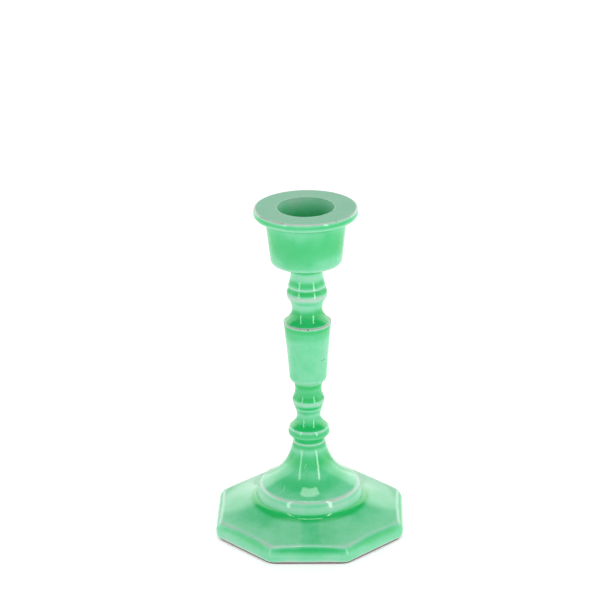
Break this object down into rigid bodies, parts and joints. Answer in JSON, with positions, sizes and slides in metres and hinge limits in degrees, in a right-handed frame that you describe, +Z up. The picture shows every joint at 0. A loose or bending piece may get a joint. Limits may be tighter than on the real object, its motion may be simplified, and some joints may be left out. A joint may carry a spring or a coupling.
{
  "type": "candlestick",
  "caption": "Free-standing enamelled metal candlestick: octagonal base, bell foot, turned stem and a flanged cup for one taper candle.",
  "frame": {"origin": "centre of the felt's underside, where the candlestick stands on the table", "axes": "+Z up along the stem, -Y towards the flat of the base that faces the viewer, +X to the viewer's right"},
  "size_m": [0.0748, 0.0748, 0.1356],
  "materials": {
    "enamel": "glossy green enamel over grey cast metal, thin and grey along the arrises",
    "felt": "maroon wool felt",
    "plated_steel": "bright zinc plate",
    "spring_steel": "oil-blackened spring steel",
    "fibre": "red vulcanised fibre"
  },
  "bodies": {
    "root": {"felt_pad": "felt", "base_plate": "enamel", "bell_foot": "enamel", "lower_stem": "enamel", "barrel": "enamel", "upper_stem": "enamel", "candle_cup": "enamel", "tie_rod": "plated_steel", "cup_nut": "plated_steel", "cup_washer": "plated_steel", "fibre_washer": "fibre", "base_washer": "plated_steel", "spring_washer": "spring_steel", "base_nut": "plated_steel"}
  },
  "joints": []
}
